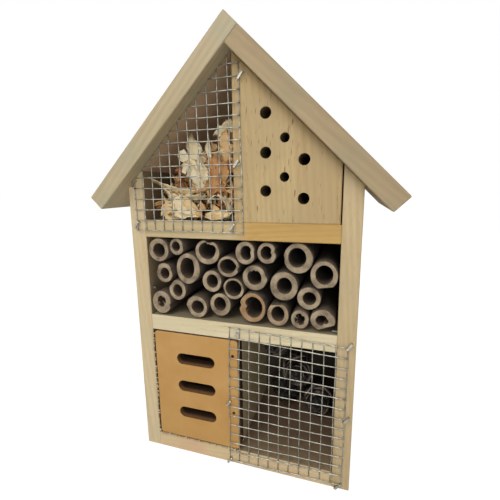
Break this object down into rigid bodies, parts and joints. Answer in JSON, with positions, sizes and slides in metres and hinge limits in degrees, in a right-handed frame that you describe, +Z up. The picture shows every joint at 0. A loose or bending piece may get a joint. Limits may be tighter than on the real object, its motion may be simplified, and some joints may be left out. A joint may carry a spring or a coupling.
{
  "type": "insect hotel",
  "caption": "Small gabled timber insect hotel with a drilled block, bamboo canes, a slotted butterfly panel, pine cones and wood shavings behind stapled wire mesh.",
  "frame": {"origin": "centre of the footprint, on the surface the hotel stands on", "axes": "+Z up, +X to the right seen from the front, -Y out of the front"},
  "size_m": [0.1734, 0.088, 0.2569],
  "materials": {
    "pine_board": "sanded, unfinished",
    "roof_board": "sanded, unfinished",
    "plywood": "unfinished",
    "ochre_paint": "matt stain on fibreboard",
    "pine_block": "sanded, unfinished",
    "steel_nail": "plain",
    "steel_staple": "bright",
    "galvanised_wire": "galvanised",
    "zinc_plate": "zinc plated",
    "wood_shavings": "planed curls",
    "pine_cone": "dry",
    "bamboo": "sawn ends"
  },
  "bodies": {
    "root": {"back_panel": "plywood", "back_panel_nails": "steel_nail", "bamboo_cane_01": "bamboo", "bamboo_cane_02": "bamboo", "bamboo_cane_03": "bamboo", "bamboo_cane_04": "bamboo", "bamboo_cane_05": "bamboo", "bamboo_cane_06": "bamboo", "bamboo_cane_07": "bamboo", "bamboo_cane_08": "bamboo", "bamboo_cane_09": "bamboo", "bamboo_cane_10": "bamboo", "bamboo_cane_11": "bamboo", "bamboo_cane_12": "bamboo", "bamboo_cane_13": "bamboo", "bamboo_cane_14": "bamboo", "bamboo_cane_15": "bamboo", "bamboo_cane_16": "bamboo", "bamboo_cane_17": "bamboo", "bamboo_cane_18": "bamboo", "bamboo_cane_19": "bamboo", "bamboo_cane_20": "bamboo", "bamboo_cane_21": "bamboo", "bamboo_cane_22": "bamboo", "bamboo_cane_23": "bamboo", "bottom_board": "pine_board", "divider": "pine_board", "divider_nails": "steel_nail", "drilled_block": "pine_block", "frame_nails": "steel_nail", "gable_mesh": "galvanised_wire", "gable_mesh_staples": "steel_staple", "hanging_plate": "zinc_plate", "hanging_plate_screws": "zinc_plate", "left_roof_board": "roof_board", "left_wall": "pine_board", "lower_mesh": "galvanised_wire", "lower_mesh_staples": "steel_staple", "lower_shelf": "pine_board", "pine_cone_1": "pine_cone", "pine_cone_2": "pine_cone", "pine_cone_3": "pine_cone", "pine_cone_4": "pine_cone", "pine_cone_5": "pine_cone", "right_roof_board": "roof_board", "right_wall": "pine_board", "roof_nails": "steel_nail", "slotted_panel": "ochre_paint", "slotted_panel_nails": "steel_nail", "stray_pins": "steel_nail", "upper_shelf": "pine_board", "wood_shavings": "wood_shavings"}
  },
  "joints": []
}
